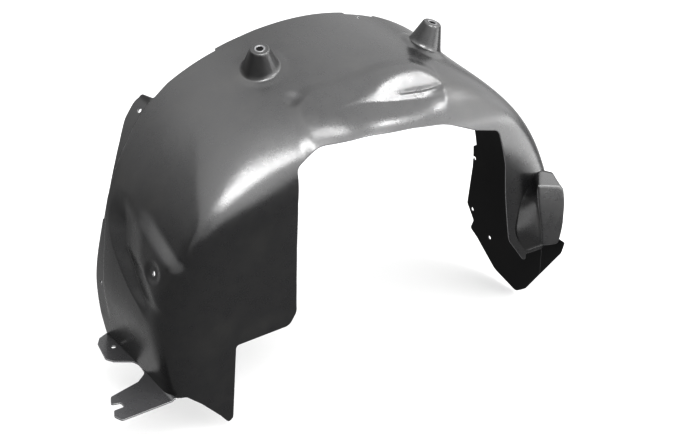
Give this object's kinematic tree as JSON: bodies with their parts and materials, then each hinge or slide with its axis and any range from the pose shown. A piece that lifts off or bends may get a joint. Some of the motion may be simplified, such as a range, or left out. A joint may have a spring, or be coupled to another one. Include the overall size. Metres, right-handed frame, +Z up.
{
  "type": "wheel arch liner",
  "caption": "Thin moulded liner for a car wheel well: an arch with side walls cut out for the suspension, foot tabs and two hollow spacer cones on its crown.",
  "frame": {"origin": "centre of the fixing hole's outer rim on top of the left spacer cone", "axes": "+X along the car, from the long leg with the foot tabs to the short leg; +Y across the car, towards the outer panel; +Z up"},
  "size_m": [0.7763, 0.3095, 0.5474],
  "materials": {
    "liner_plastic": "dark grey-black moulded plastic with a soft sheen"
  },
  "bodies": {
    "root": {"wheel_arch_liner": "liner_plastic"}
  },
  "joints": []
}
